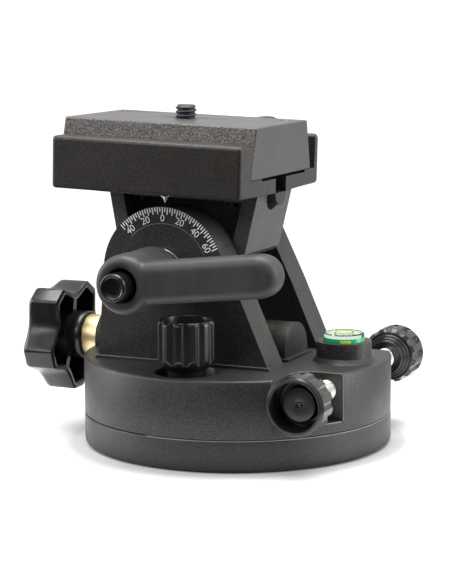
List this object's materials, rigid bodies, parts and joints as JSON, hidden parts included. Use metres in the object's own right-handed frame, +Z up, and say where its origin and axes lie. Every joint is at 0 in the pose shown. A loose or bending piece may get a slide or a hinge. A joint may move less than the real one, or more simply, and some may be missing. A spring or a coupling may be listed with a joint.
{
  "type": "altitude azimuth latitude base",
  "caption": "Latitude base for a star tracker: round base, turret with fine azimuth screws, worm-driven tilting dovetail saddle with dial, clamp lever and bubble level.",
  "frame": {"origin": "centre of the tripod thread at the underside of the base", "axes": "+Z up along the azimuth axis, +X along the dovetail towards the bubble level, -Y towards the clamp lever and dial"},
  "size_m": [0.1106, 0.1009, 0.0989],
  "materials": {
    "powder_coat_base": "fine satin powder coat",
    "powder_coat": "fine satin powder coat",
    "powder_coat_yoke": "fine satin powder coat",
    "powder_coat_head": "fine satin powder coat",
    "powder_coat_plate": "fine satin powder coat",
    "dial_print": "smooth with white print",
    "bush_brass": "machined",
    "collar_brass": "turned, satin",
    "zinc_steel": "zinc plated",
    "zinc_screw": "zinc plated",
    "bright_steel": "bright turned",
    "stud_steel": "gunmetal",
    "black_screw": "black oxide",
    "spring_steel": "bright wire",
    "shoe_alloy": "machined",
    "nylon": "matte",
    "knob_black": "semi gloss",
    "star_black": "gloss",
    "lever_plastic": "satin",
    "button_black": "gloss",
    "level_green": "gloss",
    "level_liquid": "liquid",
    "level_air": "air bubble",
    "level_clear": "clear acrylic"
  },
  "bodies": {
    "base": {"base_plate": "powder_coat_base", "pivot_bush": "bush_brass", "bush_screws": "zinc_steel", "azimuth_peg": "bright_steel", "friction_ring": "nylon", "pivot_washer": "bright_steel", "lock_ring": "zinc_steel"},
    "turret": {"turret": "powder_coat", "arm_near": "powder_coat", "arm_far": "powder_coat", "dial_scale": "dial_print", "level_cup": "level_green", "level_fluid": "level_liquid", "level_bubble": "level_air", "level_lens": "level_clear", "worm_collar": "collar_brass", "worm_end_bush": "bush_brass", "thrust_washer": "bright_steel", "tilt_axle": "bright_steel", "axle_washer": "zinc_steel", "axle_nut": "zinc_steel", "bush_near": "nylon", "bush_far": "nylon"},
    "azimuth_pad_front": {"azimuth_pad_front": "bush_brass"},
    "azimuth_knob_front": {"azimuth_screw_front": "zinc_screw", "azimuth_knob_front": "knob_black"},
    "azimuth_pad_rear": {"azimuth_pad_rear": "bush_brass"},
    "azimuth_knob_rear": {"azimuth_screw_rear": "zinc_screw", "azimuth_knob_rear": "knob_black"},
    "lock_pad": {"lock_pad": "bush_brass"},
    "lock_knob": {"lock_stud": "zinc_steel", "lock_knob": "knob_black"},
    "worm": {"worm_shaft": "bright_steel", "star_knob": "star_black", "star_cap": "star_black"},
    "head": {"yoke": "powder_coat_yoke", "worm_wheel": "bush_brass", "wheel_screws": "zinc_steel", "saddle": "powder_coat_head", "saddle_screws": "black_screw", "index_pin": "bright_steel"},
    "lever": {"lever_insert": "bright_steel", "clamp_lever": "lever_plastic", "lever_spring": "spring_steel"},
    "lever_button": {"lever_button": "button_black"},
    "clamp_shoe": {"clamp_shoe": "shoe_alloy"},
    "clamp_knob": {"clamp_screw": "zinc_steel", "clamp_knob": "knob_black"},
    "plate": {"dovetail_plate": "powder_coat_plate", "stop_pins": "bright_steel", "camera_washer": "nylon"},
    "camera_screw": {"camera_screw": "stud_steel"}
  },
  "joints": [
    {"name": "azimuth", "type": "hinge", "parent": "base", "child": "turret", "pos_m": [0, 0, 0.0094], "axis": [0, 0, 1], "range_deg": [-8, 8]},
    {"name": "azimuth_push_front", "type": "slide", "parent": "turret", "child": "azimuth_pad_front", "axis": [-0.0304, 0.9995, 0], "range_m": [-0.0052, 0.0052]},
    {"name": "azimuth_turn_front", "type": "hinge", "parent": "azimuth_pad_front", "child": "azimuth_knob_front", "pos_m": [0.03642, -0.02966, 0.0209], "axis": [-0.0304, 0.9995, 0], "range_deg": [-1860, 1860]},
    {"name": "azimuth_push_rear", "type": "slide", "parent": "turret", "child": "azimuth_pad_rear", "axis": [-0.0304, 0.9995, 0], "range_m": [-0.0052, 0.0052]},
    {"name": "azimuth_turn_rear", "type": "hinge", "parent": "azimuth_pad_rear", "child": "azimuth_knob_rear", "pos_m": [0.0346, 0.03031, 0.0209], "axis": [-0.0304, 0.9995, 0], "range_deg": [-1860, 1860]},
    {"name": "lock_lift", "type": "slide", "parent": "turret", "child": "lock_pad", "axis": [0, 0, 1], "range_m": [0, 0.001]},
    {"name": "lock_turn", "type": "hinge", "parent": "lock_pad", "child": "lock_knob", "pos_m": [-0.0003, -0.034, 0.033], "axis": [0, 0, 1], "range_deg": [0, 360]},
    {"name": "altitude", "type": "hinge", "parent": "turret", "child": "head", "pos_m": [-0.0125, 0, 0.052], "axis": [0, 1, 0], "range_deg": [-46.8, 63.2]},
    {"name": "altitude_turn", "type": "hinge", "parent": "turret", "child": "worm", "pos_m": [-0.05, 0, 0.0277], "axis": [1, 0, 0], "range_deg": [-1740, 2345]},
    {"name": "lever_swing", "type": "hinge", "parent": "turret", "child": "lever", "pos_m": [-0.0125, -0.04, 0.052], "axis": [0, -1, 0], "range_deg": [-12, 100]},
    {"name": "button_push", "type": "slide", "parent": "lever", "child": "lever_button", "axis": [0, 1, 0], "range_m": [0, 0.0018], "stiffness_N_per_m": 400, "deforming": ["lever_spring"]},
    {"name": "shoe_slide", "type": "slide", "parent": "head", "child": "clamp_shoe", "axis": [0, 1, 0], "range_m": [0, 0.0015]},
    {"name": "clamp_turn", "type": "hinge", "parent": "clamp_shoe", "child": "clamp_knob", "pos_m": [-0.00912, 0.035, 0.08311], "axis": [0, 1, 0], "range_deg": [0, 540]},
    {"name": "plate_slide", "type": "slide", "parent": "head", "child": "plate", "axis": [-0.9995, 0, 0.0314], "range_m": [0, 0.02]},
    {"name": "camera_turn", "type": "hinge", "parent": "plate", "child": "camera_screw", "pos_m": [-0.0165, 0, 0.09015], "axis": [0.0314, 0, 0.9995], "continuous": true}
  ],
  "couplings": [
    {"joint": "azimuth_push_front", "follows": "azimuth", "m_per_rad": -0.0355},
    {"joint": "azimuth_push_rear", "follows": "azimuth", "m_per_rad": -0.0355},
    {"joint": "azimuth_turn_front", "follows": "azimuth", "ratio": -223.05},
    {"joint": "azimuth_turn_rear", "follows": "azimuth", "ratio": -223.05},
    {"joint": "altitude_turn", "follows": "altitude", "ratio": 37},
    {"joint": "lock_turn", "follows": "lock_lift", "rad_per_m": 6283.2},
    {"joint": "clamp_turn", "follows": "shoe_slide", "rad_per_m": 6283.2}
  ]
}
